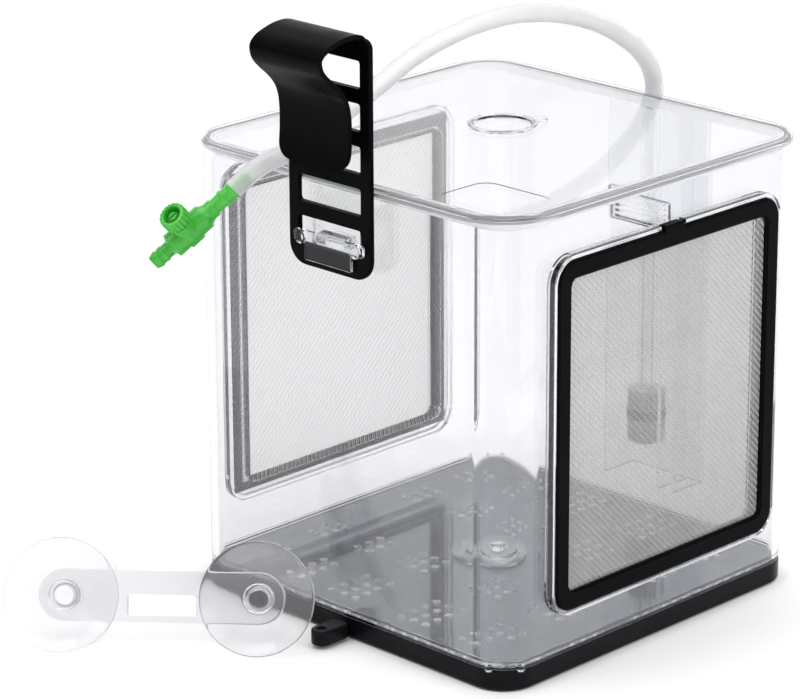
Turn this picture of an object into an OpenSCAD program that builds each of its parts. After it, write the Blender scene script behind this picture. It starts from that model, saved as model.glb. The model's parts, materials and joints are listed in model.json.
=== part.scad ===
// Hanging fish breeding box: clear tank with mesh windows on a black base
// tray, lid with feeding hole, air-lift duct, ladder hanger, air line with
// control valve, and a separate suction cup bar. Millimetres, +Z up. The
// origin is the centre of the tray's underside; the hanger is on the -Y side,
// the framed window on the +X side and the air-lift duct on the +Y side.

/* [Tank] */
// Outer width of the tank walls, both ways
tank_w = 134; // [133.8:0.1:134.2]
// Height of the tank's top edge above the ground
tank_top = 142.8; // [142.6:0.1:143]
// Thickness of the tank walls
wall = 2.2; // [2:0.1:2.4]
// Radius of the tank's outer vertical corners
tank_r = 13.7; // [12.5:0.1:14.5]
// Radius of the tank's inner vertical corners
tank_ri = 11.5; // [11:0.1:12]

/* [Base] */
// Outer width of the base tray
tray_w = 132.6; // [131:0.1:133]
// Height of the base tray
tray_h = 6.6; // [6.6:0.1:6.6]
// Thickness of the tray's floor
tray_t = 1.6; // [1.2:0.1:2]
// Width of the tab that carries the suction cup bar
tab_w = 6.5; // [5:0.1:7]
// How far the tab stands out of the tray
tab_l = 13.2; // [10:0.1:15]

/* [Floor plate] */
// Thickness of the perforated floor plate
grate_t = 1.8; // [1.4:0.1:1.8]
// Diameter of the drain holes
drain_d = 2.2; // [1.6:0.1:2.6]
// Diameter of the lifting knob
knob_d = 17.4; // [16:0.1:22]

/* [Windows] */
// Width of the window openings
win_w = 86.8; // [84:0.1:87]
// Lower edge of the window openings
win_z0 = 26.3; // [26:0.1:28]
// Upper edge of the window openings
win_z1 = 123.7; // [122:0.1:124]
// Thickness of the woven mesh sheet
mesh_t = 0.4; // [0.3:0.1:0.4]

/* [Lid] */
// Outer width of the lid
lid_w = 139; // [138.6:0.1:139.2]
// Thickness of the lid at its rim
lid_t = 1.2; // [1:0.1:1.4]
// Radius of the lid's corners
lid_r = 21; // [18:0.5:21.5]
// Diameter of the feeding hole
feed_d = 19.6; // [18:0.1:20]

/* [Hanger] */
// Width of the ladder plate
plate_w = 33.9; // [33.5:0.1:33.9]
// Thickness of the ladder plate
plate_t = 1.8; // [1.4:0.1:1.8]
// Width of the ladder's windows
rung_w = 26.1; // [25:0.1:26.4]
// Height of the ladder's windows
rung_h = 8.3; // [8:0.1:8.5]
// Pitch of the ladder's windows
rung_pitch = 12.65; // [12.4:0.05:12.7]
// Thickness of the spring hook
hook_t = 1.5; // [1.3:0.1:1.5]

/* [Air line] */
// Outside diameter of the air line
line_d = 6; // [5:0.1:6]
// Diameter of the diffuser
diff_d = 12; // [10:0.1:12]

/* [Suction cups] */
// Diameter of each suction cup
cup_d = 34.9; // [30:0.1:35]
// Distance between the two cups
cup_gap = 59; // [55:0.5:60]
// Height of the bar between the cups
bar_h = 15.8; // [14:0.1:16]

/* [Hidden] */
$fn = 64;
e = 0.01;
hw = tank_w / 2;
floor_top = tray_h + grate_t;

// outline of a rounded rectangle with true arcs
module rr(w, d, r) {
    square([w - 2 * r, d], center = true);
    square([w, d - 2 * r], center = true);
    for (x = [-1, 1], y = [-1, 1])
        translate([x * (w / 2 - r), y * (d / 2 - r)]) circle(r);
}
// rounded block, standing, between two heights
module slab(w, d, r, z0, z1)
    translate([0, 0, z0]) linear_extrude(z1 - z0) rr(w, d, r);
// rounded block lying along X from x0 to x1, w wide in Y, from z0 to z1
module slab_x(w, z0, z1, r, x0, x1)
    translate([x0, 0, (z0 + z1) / 2]) rotate([90, 0, 90])
        linear_extrude(x1 - x0) rr(w, z1 - z0, r);
// rounded block lying along Y from y0 to y1, centred on x = cx
module slab_y(cx, w, z0, z1, r, y0, y1)
    translate([cx, y1, (z0 + z1) / 2]) rotate([90, 0, 0])
        linear_extrude(y1 - y0) rr(w, z1 - z0, r);
module block(a, b) translate(a) cube(b - a);

// ---------------------------------------------------------------- base
module base_plate() color([0.05, 0.05, 0.06])
    slab(tray_w, tray_w, 11.5, 0, tray_t);
module base_tray() color([0.05, 0.05, 0.06]) {
    difference() {
        slab(tray_w, tray_w, 11.5, tray_t, tray_h);
        slab(122, 122, 1, tray_t - 1, tray_h + e);
    }
    // tab with a round end for the suction cup bar
    difference() {
        union() {
            block([-tab_w / 2, -tray_w / 2 - tab_l + tab_w / 2, tray_t],
                [tab_w / 2, -tray_w / 2 + 1, 5.6]);
            translate([0, -tray_w / 2 - tab_l + tab_w / 2, tray_t])
                cylinder(d = tab_w, h = 5.6 - tray_t);
        }
        translate([0, -tray_w / 2 - tab_l + tab_w / 2, 4.8])
            cylinder(d = 3, h = 2);
    }
}

// tank: walls, foot lip, window collars, clip socket and duct outlet hole
module box_shell() color([0.85, 0.92, 0.95, 0.4]) difference() {
    union() {
        slab(tank_w, tank_w, tank_r, floor_top, tank_top);
        slab(133, 133, 12.4, tray_h, floor_top + e);
        // collars round both windows
        difference() {
            slab_x(101.2, 20.2, 130.9, 8.5, hw - 1, 70);
            slab_x(98.8, 21.45, 129.7, 7.3, hw, 71);
        }
        mirror([1, 0, 0]) difference() {
            slab_x(101.2, 20.2, 130.9, 8.5, hw - 1, 70);
            slab_x(98.8, 21.45, 129.7, 7.3, 69.2, 71);
        }
        // socket that takes the stem of the hanger's clip
        slab_y(1.6, 20, 122.9, 133.5, 2, -70, -hw + 1);
        // small lugs on the foot lip
        for (p = [[59.6, -66.3], [66.3, -59.6], [-59.6, 66.3], [-66.3, 59.6]])
            translate([p[0], p[1], tray_h]) cylinder(r = 1.2, h = grate_t);
    }
    slab(tank_w - 2 * wall, tank_w - 2 * wall, tank_ri, floor_top - e,
        tank_top + e);
    slab(127.2, 127.2, 9, tray_h - e, floor_top + 2 * e);
    slab_x(win_w, win_z0, win_z1, 3, -71, 71);
    // gap at the top of the front collar for the frame's tab
    block([hw + 0.3, -4.6, 129], [71, 6.3, 132]);
    slab_y(1.6, 12.2, 125, 128.9, 0.2, -71, -65.7);
    block([-12, 60, 101.5], [12, 70, 111]);
}

// ---------------------------------------------------------------- floor
cols = [-54, -49, -34, -29, -15, -10, -5, 15, 20, 25, 40, 45, 50];
rows = [16, 21, 26, 41, 46, 51, 56];
module floor_grate() color([0.8, 0.86, 0.9, 0.5]) difference() {
    slab(126.6, 126.6, 8.6, tray_h, floor_top);
    for (x = cols, y = rows, s = [-1, 1])
        if (!(abs(x) > 48 && y > 50))
            translate([x, s * y, tray_h - 1]) cylinder(d = drain_d, h = 4, $fn = 24);
}
module floor_knob() color([0.88, 0.94, 0.97, 0.5]) rotate_extrude()
    polygon([[0, floor_top], [knob_d / 2 + 4.5, floor_top],
        [knob_d / 2 + 4.5, floor_top + 0.8], [knob_d / 2 + 0.6, floor_top + 0.8],
        [knob_d / 2, floor_top + 1.4], [knob_d / 2, floor_top + 1.7],
        [knob_d / 2 - 0.4, floor_top + 2], [4.2, floor_top + 2],
        [3.6, floor_top + 1.5], [2.4, floor_top + 1.5], [1.8, floor_top + 2],
        [0, floor_top + 2]]);

// ---------------------------------------------------------------- lid
feed_at = [-5.7, 8.5];
module lid() color([0.87, 0.93, 0.96, 0.4]) difference() {
    union() {
        slab(lid_w, lid_w, lid_r, tank_top, tank_top + lid_t);
        slab(134.4, 134.4, 17, tank_top, tank_top + lid_t + 0.8);
        difference() {
            slab(128.6, 128.6, 11.2, tank_top - 2.5, tank_top + e);
            slab(125.8, 125.8, 9.8, tank_top - 3, tank_top - e);
        }
    }
    translate([feed_at[0], feed_at[1], tank_top - 1]) cylinder(d = feed_d, h = 5);
    // shallow thumb rest near one corner
    translate([47, -51, tank_top + lid_t + 0.6]) linear_extrude(1) rr(28, 22, 5);
}
lid_top = tank_top + lid_t + 0.8;
module feed_plug() color([0.87, 0.93, 0.96, 0.5])
    translate([feed_at[0], feed_at[1], 0]) {
        rotate_extrude() polygon([[0, lid_top - 1.4], [feed_d / 2 - 0.3, lid_top - 1.4],
            [feed_d / 2 - 0.3, lid_top], [feed_d / 2 + 0.9, lid_top],
            [feed_d / 2 + 0.9, lid_top + 0.6], [feed_d / 2 - 0.5, lid_top + 0.6],
            [feed_d / 2 - 1.2, lid_top - 0.2], [0, lid_top - 0.2]]);
        rotate([0, 0, 63]) block([feed_d / 2 + 0.2, -2.6, lid_top],
            [feed_d / 2 + 4.4, 2.6, lid_top + 0.8]);
    }

// ---------------------------------------------------------------- windows
frame_x0 = 67.15;
frame_x1 = 70.6;
mesh_x = 69;
module front_mesh() color([0.62, 0.63, 0.6])
    block([mesh_x, -45, 25.6], [mesh_x + mesh_t, 45, 125.2]);
module window_frame() color([0.06, 0.06, 0.07]) difference() {
    union() {
        slab_x(98.2, 21.75, 129.4, 7, frame_x0, frame_x1);
        block([frame_x0 + 0.5, -3.6, 128], [frame_x1, 5.3, 130.8]);
    }
    slab_x(win_w, 27.5, win_z1, 2.5, 60, 80);
    block([mesh_x, -45, 25.6], [mesh_x + mesh_t, 45, 125.2]);
}
module side_mesh() color([0.62, 0.63, 0.6])
    block([-69.2 - mesh_t, -48, 22.8], [-69.2, 48, 128.4]);
module side_mesh_retainer() color([0.85, 0.92, 0.95, 0.4]) difference() {
    slab_x(98.4, 21.65, 129.5, 7.1, -71, -69.2 - mesh_t);
    slab_x(88, 25.7, 124.3, 3.5, -72, -69);
}

// ---------------------------------------------------------------- hanger
plate_x = 0.75;
plate_y = -72;
win0_z = 128.2;
// outer profile of the hook as [y, z], from the plate's top to the free end
hook = [[-70.4, 186.8], [-71, 190], [-74.5, 191.3], [-79, 191.2], [-83, 190.3],
    [-86.6, 189], [-88.9, 187], [-89.3, 184.7], [-88.2, 181.8], [-85.6, 179],
    [-82.2, 176], [-79.7, 173], [-78.4, 169.8], [-77.9, 166.4], [-77.8, 162.8],
    [-77.9, 159], [-78.3, 155.2], [-79, 151.2]];
function cr(a, b, c, d, t) = 0.5 * (2 * b + (c - a) * t
    + (2 * a - 5 * b + 4 * c - d) * t * t + (3 * b - a - 3 * c + d) * t * t * t);
function smooth(p, m) = let(n = len(p)) concat(
    [for (i = [0:n - 2], k = [0:m - 1])
        cr(p[max(i - 1, 0)], p[i], p[i + 1], p[min(i + 2, n - 1)], k / m)],
    [p[n - 1]]);
function unit(v) = v / norm(v);
function inner(p, t) = let(n = len(p)) [for (i = [0:n - 1])
    let(d = unit(p[min(i + 1, n - 1)] - p[max(i - 1, 0)]))
        p[i] + t * [-d[1], d[0]]];
hook_out = smooth(hook, 3);
hook_in = inner(hook_out, hook_t);
module hanger() color([0.07, 0.07, 0.08]) {
    difference() {
        union() {
            slab_y(plate_x, plate_w, 117.2, 150, 6.5, plate_y, plate_y + plate_t);
            slab_y(plate_x, plate_w, 130, 189.6, 3, plate_y, plate_y + plate_t);
        }
        for (k = [0:4])
            slab_y(plate_x, rung_w, win0_z + k * rung_pitch - rung_h / 2,
                win0_z + k * rung_pitch + rung_h / 2, 1, plate_y - 1, plate_y + 3);
    }
    intersection() {
        translate([plate_x - 14.15, 0, 0]) rotate([90, 0, 90]) linear_extrude(28.3)
            polygon(concat(hook_out, [for (i = [len(hook_in) - 1:-1:0]) hook_in[i]]));
        slab_y(plate_x, 28.3, 151.2, 200, 5, -95, -70.25);
    }
}
module hanger_clip() color([0.88, 0.94, 0.97, 0.5]) {
    slab_y(1.25, 28.5, 124.5, 128.3, 1.2, -73.4, -72.1);
    block([-8.6, -73.4, 119.3], [10.6, -72.1, 125.5]);
    for (x = [-9.8, 12.8])
        translate([x, -72.1, 126.3]) rotate([90, 0, 0]) cylinder(r = 2.2, h = 2.1);
    block([-4.2, -72.4, 125.4], [7.4, -66.2, 128.4]);
}

// ---------------------------------------------------------------- air lift
duct = [-14, 17.1, 67, 82, 14, 140];
pipe_at = [-1.6, 74];
module airlift_duct() color([0.85, 0.92, 0.95, 0.4]) difference() {
    block([duct[0], duct[2], duct[4]], [duct[1], duct[3], duct[5]]);
    for (c = [[duct[0] + 1.6, 9.3], [10.7, duct[1] - 1.6]])
        block([c[0], duct[2] - 1, duct[4] - 1], [c[1], duct[3] - 1.4, duct[5] - 1.6]);
    translate([pipe_at[0], pipe_at[1], 130]) cylinder(r = 2.05, h = 20);
}
module duct_outlet() color([0.86, 0.92, 0.95, 0.5]) difference() {
    block([-12, 64.9, 101.5], [12, 67, 111]);
    for (i = [-2:2])
        block([-10.2, 60, 105.75 + i * 1.75], [10.2, 70, 106.75 + i * 1.75]);
}
module air_pipe() color([0.88, 0.94, 0.97, 0.5]) translate([pipe_at[0], pipe_at[1], 0])
    difference() {
        union() {
            translate([0, 0, 44.1]) cylinder(r = 3.2, h = duct[5] - 1.6 - 44.1);
            translate([0, 0, 130]) cylinder(r = 2, h = 18);
        }
        translate([0, 0, 43.6]) cylinder(r = 1.3, h = 110);
    }
module flutes(z0, z1) for (i = [0:19])
    rotate([0, 0, i * 18]) translate([diff_d / 2 + 0.25, 0, z0])
        cylinder(r = 0.75, h = z1 - z0, $fn = 16);
module diffuser_top() color([0.75, 0.76, 0.78]) translate([pipe_at[0], pipe_at[1], 0])
    difference() {
        union() {
            translate([0, 0, 37.4]) cylinder(d = diff_d, h = 6.7);
            translate([0, 0, 31]) cylinder(r = 2.6, h = 7);
        }
        flutes(36.9, 44.6);
        translate([0, 0, 29]) cylinder(r = 1.3, h = 20);
    }
module diffuser_ring() color([0.12, 0.12, 0.13]) translate([pipe_at[0], pipe_at[1], 34.2])
    difference() {
        cylinder(d = diff_d + 0.5, h = 3.2);
        translate([0, 0, -1]) cylinder(r = 2.6, h = 6);
    }
module diffuser_bottom() color([0.75, 0.76, 0.78]) translate([pipe_at[0], pipe_at[1], 0])
    difference() {
        translate([0, 0, 26.4]) cylinder(d = diff_d, h = 7.8);
        flutes(25, 35);
        translate([0, 0, 31]) cylinder(r = 2.6, h = 4);
    }

// ---------------------------------------------------------------- air line
// valve: junction point, flow axis (local X) and spindle axis (local Z)
valve_at = [-30.8, -98.6, 129];
valve_rot = [-27.1, 40.6, -122];
flow = [-0.402, -0.644, -0.651];
route = [[-1.6, 74, 140], [-1.6, 74.2, 145], [-1.8, 72.4, 151], [-2.3, 68, 157],
    [-3, 61.4, 162.4], [-3.9, 53, 167.6], [-5.1, 42.6, 172], [-6.2, 32.4, 175],
    [-7.3, 22.3, 176.7], [-8.5, 12.3, 177.3], [-9.6, 2.5, 176.7],
    [-10.6, -7.3, 175.2], [-11.7, -17, 172.8], [-12.8, -26.6, 169.2],
    [-14, -38, 163.5], [-15.6, -48, 158.4], [-17.6, -58.6, 153.2],
    [-19.4, -68, 149.4], [-20.3, -78.2, 147], [-21.2, -83.1, 144.6],
    [-22.4, -85.1, 142.7], [-23.6, -87.1, 140.6]];
side = [0.99, -0.13, 0];
sides = 12;
function tangent(i) = i == 0 ? [0, 0, 1] : i == len(route) - 1 ? unit(flow)
    : unit(route[i + 1] - route[i - 1]);
function ring(i) = let(t = tangent(i), u = unit(side - (side * t) * t),
    w = cross(t, u)) [for (k = [0:sides - 1])
        route[i] + line_d / 2 * (cos(k * 360 / sides) * u + sin(k * 360 / sides) * w)];
module air_tube() color([0.93, 0.94, 0.96, 0.6]) polyhedron(
    points = [for (i = [0:len(route) - 1]) each ring(i)],
    faces = concat([[for (k = [sides - 1:-1:0]) k]],
        [for (i = [0:len(route) - 2], k = [0:sides - 1])
            let(a = i * sides + k, b = i * sides + (k + 1) % sides)
                [a, b, b + sides, a + sides]],
        [[for (k = [0:sides - 1]) (len(route) - 1) * sides + k]]));
module in_valve() translate(valve_at) rotate(valve_rot) children();
module along_x(x0, x1, r) translate([x0, 0, 0]) rotate([0, 90, 0])
    cylinder(r = r, h = x1 - x0);
module taper_x(x0, x1, r0, r1) translate([x0, 0, 0]) rotate([0, 90, 0]) cylinder(r1 = r0, r2 = r1, h = x1 - x0);
module valve_body() color([0.25, 0.72, 0.2]) in_valve() difference() {
    union() {
        along_x(-6.5, 6.2, 4);
        taper_x(6.2, 6.7, 4, 2.7);
        along_x(6, 7.1, 2.1);
        along_x(-17.8, -6, 2.8);
        along_x(-24, -17, 1.9);
        along_x(7.1, 14, 2.35);
        cylinder(r = 4, h = 5.8);
    }
    along_x(-25, 15, 1.2);
    translate([0, 0, -2.2]) cylinder(r = 1.5, h = 9);
    translate([0, 0, 3.2]) cylinder(r = 2.45, h = 1);
}
module valve_seal() color([0.1, 0.1, 0.1]) in_valve() translate([0, 0, 3.7])
    rotate_extrude() translate([1.98, 0]) circle(r = 0.43);
module valve_needle() color([0.8, 0.8, 0.82]) in_valve() {
    translate([0, 0, -0.6]) cylinder(r = 1.45, h = 6.6);
    translate([0, 0, -1.8]) cylinder(r1 = 0.5, r2 = 1.45, h = 1.21);
    translate([0, 0, 5.9]) cylinder(r = 1, h = 2.6);
}
module valve_knob() color([0.27, 0.75, 0.22]) in_valve() difference() {
    translate([0, 0, 6.1]) cylinder(r = 4.2, h = 4);
    translate([0, 0, 8.6]) cylinder(r = 2.9, h = 2);
    translate([0, 0, 6]) cylinder(r = 1.05, h = 3);
    translate([0, 0, 6]) cylinder(r = 1.5, h = 0.2);
    for (i = [0:17]) rotate([0, 0, i * 20]) translate([4.4, 0, 6])
        cylinder(r = 0.45, h = 5, $fn = 16);
}

// ---------------------------------------------------------------- cup bar
bar_at = [-34.2, -111.04, 16.3];
bar_turn = 40.94;
// lean of the bar, so that the cups face upwards by this angle
bar_lean = 22;
// local frame of the bar: X along it, Y into its back, Z up
module in_bar() translate(bar_at) rotate([-bar_lean, 0, bar_turn]) children();
bar_y = 7;
bar_t = 4.5;
module bar_solid(w, h, y0, y1) {
    translate([0, y1, 0]) rotate([90, 0, 0]) linear_extrude(y1 - y0) union() {
        square([w, h], center = true);
        for (s = [-1, 1]) translate([s * w / 2, 0]) circle(h / 2);
    }
}
module cup_bar() color([0.87, 0.93, 0.96, 0.5]) in_bar() difference() {
    bar_solid(cup_gap, bar_h, bar_y, bar_y + bar_t);
    // shallow recess in the front face, stepped round both bosses
    difference() {
        bar_solid(cup_gap, bar_h - 3, bar_y - 1, bar_y + 0.8);
        for (s = [-1, 1]) translate([s * cup_gap / 2, 20, 0]) rotate([90, 0, 0])
            cylinder(r = 5.6, h = 20);
    }
    // slot for the tray's tab
    block([-10.5, 0, -5.8], [10.5, 20, 0.6]);
    for (s = [-1, 1]) translate([s * cup_gap / 2, 20, 0]) rotate([90, 0, 0])
        cylinder(r = 3.05, h = 20);
}
// cup profile as [radius, depth behind the rim]
cup_prof = [[0, 3.9], [3, 3.8], [6, 3.4], [9, 2.7], [12, 1.8], [15, 0.7],
    [16.6, 0], [cup_d / 2, 0], [cup_d / 2, 0.8], [15, 2], [12, 3.2], [9, 4.2],
    [7, 4.8], [5.2, 5.2], [4.6, 5.7], [4.6, 6.7], [3, 6.7], [3, 11.8],
    [4.2, 11.8], [4.2, 12.8], [2.6, 14.3], [0, 14.3]];
module cup(s) in_bar() translate([s * cup_gap / 2, 0, 0]) rotate([-90, 0, 0]) {
    rotate_extrude() polygon(cup_prof);
    rotate([0, 0, -29]) block([16.6, -1.6, 0], [18.8, 1.6, 0.8]);
}
module suction_cup_left() color([0.9, 0.93, 0.95, 0.5]) cup(-1);
module suction_cup_right() color([0.9, 0.93, 0.95, 0.5]) cup(1);

base_plate();
base_tray();
box_shell();
floor_grate();
floor_knob();
lid();
feed_plug();
window_frame();
front_mesh();
side_mesh();
side_mesh_retainer();
hanger();
hanger_clip();
airlift_duct();
duct_outlet();
air_pipe();
diffuser_top();
diffuser_ring();
diffuser_bottom();
air_tube();
valve_body();
valve_seal();
valve_needle();
valve_knob();
cup_bar();
suction_cup_left();
suction_cup_right();
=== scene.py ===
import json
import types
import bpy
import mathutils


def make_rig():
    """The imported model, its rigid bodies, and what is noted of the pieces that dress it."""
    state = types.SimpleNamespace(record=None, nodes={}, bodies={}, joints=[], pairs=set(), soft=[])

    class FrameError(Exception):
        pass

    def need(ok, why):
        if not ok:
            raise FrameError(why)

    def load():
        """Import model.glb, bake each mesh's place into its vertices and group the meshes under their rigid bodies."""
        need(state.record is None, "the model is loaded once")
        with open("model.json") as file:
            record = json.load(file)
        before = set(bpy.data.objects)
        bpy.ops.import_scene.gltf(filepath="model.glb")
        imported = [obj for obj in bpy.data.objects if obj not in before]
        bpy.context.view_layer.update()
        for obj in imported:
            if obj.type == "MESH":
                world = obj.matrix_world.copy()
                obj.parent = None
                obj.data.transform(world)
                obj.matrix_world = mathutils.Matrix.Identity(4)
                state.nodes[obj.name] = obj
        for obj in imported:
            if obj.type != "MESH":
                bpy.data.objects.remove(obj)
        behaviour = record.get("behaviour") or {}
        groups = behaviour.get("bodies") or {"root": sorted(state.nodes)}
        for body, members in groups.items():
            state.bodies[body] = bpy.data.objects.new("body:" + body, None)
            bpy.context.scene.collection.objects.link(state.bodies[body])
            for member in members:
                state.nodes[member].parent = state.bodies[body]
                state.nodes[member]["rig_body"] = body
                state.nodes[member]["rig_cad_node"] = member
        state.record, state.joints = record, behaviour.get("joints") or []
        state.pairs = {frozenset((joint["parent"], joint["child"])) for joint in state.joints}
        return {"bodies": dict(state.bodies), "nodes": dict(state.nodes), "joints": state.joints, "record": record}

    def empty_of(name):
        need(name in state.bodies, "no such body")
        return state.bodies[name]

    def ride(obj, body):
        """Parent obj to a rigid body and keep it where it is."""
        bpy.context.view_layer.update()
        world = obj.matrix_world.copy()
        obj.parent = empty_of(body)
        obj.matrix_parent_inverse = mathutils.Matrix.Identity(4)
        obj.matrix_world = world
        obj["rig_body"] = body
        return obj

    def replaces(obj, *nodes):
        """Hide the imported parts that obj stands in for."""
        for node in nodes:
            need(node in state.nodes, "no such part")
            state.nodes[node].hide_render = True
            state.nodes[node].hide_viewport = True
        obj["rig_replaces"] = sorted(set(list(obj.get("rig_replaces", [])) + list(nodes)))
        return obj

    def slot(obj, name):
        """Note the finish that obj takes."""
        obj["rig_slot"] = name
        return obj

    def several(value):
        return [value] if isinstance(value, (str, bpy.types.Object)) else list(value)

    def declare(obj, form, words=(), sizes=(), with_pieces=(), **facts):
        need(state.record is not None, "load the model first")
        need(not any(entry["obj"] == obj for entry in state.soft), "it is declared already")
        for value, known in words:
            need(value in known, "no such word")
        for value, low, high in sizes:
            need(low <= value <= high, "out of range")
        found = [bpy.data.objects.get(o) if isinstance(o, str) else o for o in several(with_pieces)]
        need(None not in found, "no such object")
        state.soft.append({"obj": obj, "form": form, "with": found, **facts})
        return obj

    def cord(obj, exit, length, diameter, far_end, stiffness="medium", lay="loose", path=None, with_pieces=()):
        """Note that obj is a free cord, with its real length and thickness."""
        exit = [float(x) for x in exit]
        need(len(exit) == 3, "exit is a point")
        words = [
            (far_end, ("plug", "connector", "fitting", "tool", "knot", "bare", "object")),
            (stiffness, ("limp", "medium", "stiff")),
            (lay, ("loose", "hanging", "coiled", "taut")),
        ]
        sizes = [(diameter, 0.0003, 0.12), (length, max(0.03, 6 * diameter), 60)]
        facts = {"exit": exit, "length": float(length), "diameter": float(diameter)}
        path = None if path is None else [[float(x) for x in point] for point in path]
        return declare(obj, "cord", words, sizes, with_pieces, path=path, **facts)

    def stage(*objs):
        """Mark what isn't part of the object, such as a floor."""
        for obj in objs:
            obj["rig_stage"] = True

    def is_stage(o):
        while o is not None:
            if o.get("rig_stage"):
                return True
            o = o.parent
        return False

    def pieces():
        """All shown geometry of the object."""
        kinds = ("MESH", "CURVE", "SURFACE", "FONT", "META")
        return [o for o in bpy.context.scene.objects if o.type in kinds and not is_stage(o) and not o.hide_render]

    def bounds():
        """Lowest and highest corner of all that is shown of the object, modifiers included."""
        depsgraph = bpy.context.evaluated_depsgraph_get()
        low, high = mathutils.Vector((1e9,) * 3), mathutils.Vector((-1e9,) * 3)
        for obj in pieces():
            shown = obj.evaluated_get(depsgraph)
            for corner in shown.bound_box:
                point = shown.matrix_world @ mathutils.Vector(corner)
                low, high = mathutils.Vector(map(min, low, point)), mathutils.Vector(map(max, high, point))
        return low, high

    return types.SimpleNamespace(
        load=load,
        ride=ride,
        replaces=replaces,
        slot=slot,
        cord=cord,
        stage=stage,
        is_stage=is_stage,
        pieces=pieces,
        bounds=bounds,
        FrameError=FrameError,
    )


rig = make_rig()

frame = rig.load()

import bpy, bmesh, json, math
import numpy as np
from mathutils import Vector, Matrix, Euler

CAD_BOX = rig.bounds()
MM = 0.001
scene = bpy.context.scene

# ------------------------------------------------------------------ camera
AZ, EL, ROLL = math.radians(44.677), math.radians(18.892), math.radians(-0.2704)
right = Vector((math.cos(AZ), math.sin(AZ), 0))
back = Vector((math.sin(AZ) * math.cos(EL), -math.cos(AZ) * math.cos(EL), math.sin(EL)))
up = back.cross(right)
right_r = math.cos(ROLL) * right + math.sin(ROLL) * up
up_r = -math.sin(ROLL) * right + math.cos(ROLL) * up
cam_data = bpy.data.cameras.new("camera")
cam_data.sensor_fit = "HORIZONTAL"
cam_data.sensor_width = 36
cam_data.lens = 3787.441 / 800 * 36
cam_data.shift_x = 0
cam_data.shift_y = 0.5 / 800
cam_data.clip_start = 0.05
cam_data.clip_end = 50
cam = bpy.data.objects.new("camera", cam_data)
scene.collection.objects.link(cam)
m = Matrix((right_r, up_r, back)).transposed().to_4x4()
m.translation = Vector((0.75598, -0.80677, 0.45363))
cam.matrix_world = m
scene.camera = cam

# ------------------------------------------------------------------ helpers
def new_obj(name, verts, faces, mat=None):
    me = bpy.data.meshes.new(name)
    me.from_pydata([tuple(v) for v in verts], [], [tuple(f) for f in faces])
    me.update()
    o = bpy.data.objects.new(name, me)
    scene.collection.objects.link(o)
    if mat is not None:
        me.materials.append(mat)
    return o


def outline(w, d, r, seg=10):
    """Points of a rounded rectangle, anticlockwise."""
    r = max(r, 0.02)
    pts = []
    for cx, cy, a0 in ((w / 2 - r, d / 2 - r, 0), (-w / 2 + r, d / 2 - r, 90),
                       (-w / 2 + r, -d / 2 + r, 180), (w / 2 - r, -d / 2 + r, 270)):
        for i in range(seg + 1):
            a = math.radians(a0 + 90 * i / seg)
            pts.append((cx + r * math.cos(a), cy + r * math.sin(a)))
    return pts


def loft(rings, close_ends=True):
    """Quads between rings of the same length; end caps are n-gons."""
    n = len(rings[0])
    verts = [p for r in rings for p in r]
    faces = []
    for k in range(len(rings) - 1):
        for i in range(n):
            j = (i + 1) % n
            faces.append((k * n + i, k * n + j, (k + 1) * n + j, (k + 1) * n + i))
    if close_ends:
        faces.append(tuple(range(n - 1, -1, -1)))
        faces.append(tuple((len(rings) - 1) * n + i for i in range(n)))
    return verts, faces


def fillet(z0, z1, f0, f1, steps=4):
    """(inset, z) pairs up a wall with rounded lower and upper edges; a negative radius flares out."""
    out = []
    if f0 == 0:
        out.append((0, z0))
    else:
        g = abs(f0)
        for i in range(steps + 1):
            a = math.radians(90 * i / steps)
            if f0 > 0:
                out.append((g * (1 - math.sin(a)), z0 + g * (1 - math.cos(a))))
            else:
                out.append((-g * (1 - math.sin(a)), z0 + g * (1 - math.cos(a))))
    if f1 == 0:
        out.append((0, z1))
    else:
        g = abs(f1)
        for i in range(steps + 1):
            a = math.radians(90 * (1 - i / steps))
            s = 1 if f1 > 0 else -1
            out.append((s * g * (1 - math.sin(a)), z1 - g * (1 - math.cos(a))))
    return out


AXES = {"z": lambda x, y, z: (x, y, z), "x": lambda x, y, z: (z, x, y), "y": lambda x, y, z: (x, -z, y)}


def prism(name, w, d, r, z0, z1, f=0.0, f1=None, axis="z", at=(0, 0), seg=10, steps=4):
    """Rounded block with rounded end edges. With axis x its outline lies in (y, z); with axis y in (x, z), going from y = -z0 to y = -z1."""
    f1 = f if f1 is None else f1
    rings = []
    for inset, z in fillet(z0, z1, f, f1, steps):
        rings.append([(x + at[0], y + at[1], z) for x, y in outline(w - 2 * inset, d - 2 * inset, r - inset, seg)])
    verts, faces = loft(rings)
    verts = [AXES[axis](*v) for v in verts]
    return new_obj(name, [Vector(v) * MM for v in verts], faces)


def lathe(name, prof, seg=72, matrix=None):
    """Solid turned about local Z from (radius, z) points that start and end on the axis or close on themselves."""
    verts, faces, idx = [], [], []
    for r, z in prof:
        if r < 1e-6:
            idx.append([len(verts)] * seg)
            verts.append(Vector((0, 0, z)))
        else:
            idx.append(list(range(len(verts), len(verts) + seg)))
            for i in range(seg):
                a = 2 * math.pi * i / seg
                verts.append(Vector((r * math.cos(a), r * math.sin(a), z)))
    loop = prof[0][0] > 1e-6 and prof[-1][0] > 1e-6
    n = len(prof)
    for k in range(n if loop else n - 1):
        A, B = idx[k], idx[(k + 1) % n]
        for i in range(seg):
            j = (i + 1) % seg
            f = [A[i], A[j], B[j], B[i]]
            f = [v for q, v in enumerate(f) if v not in f[:q]]
            if len(f) > 2:
                faces.append(f)
    o = new_obj(name, [v * MM for v in verts], faces)
    if matrix is not None:
        o.data.transform(matrix)
    fix_normals(o)
    return o


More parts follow.
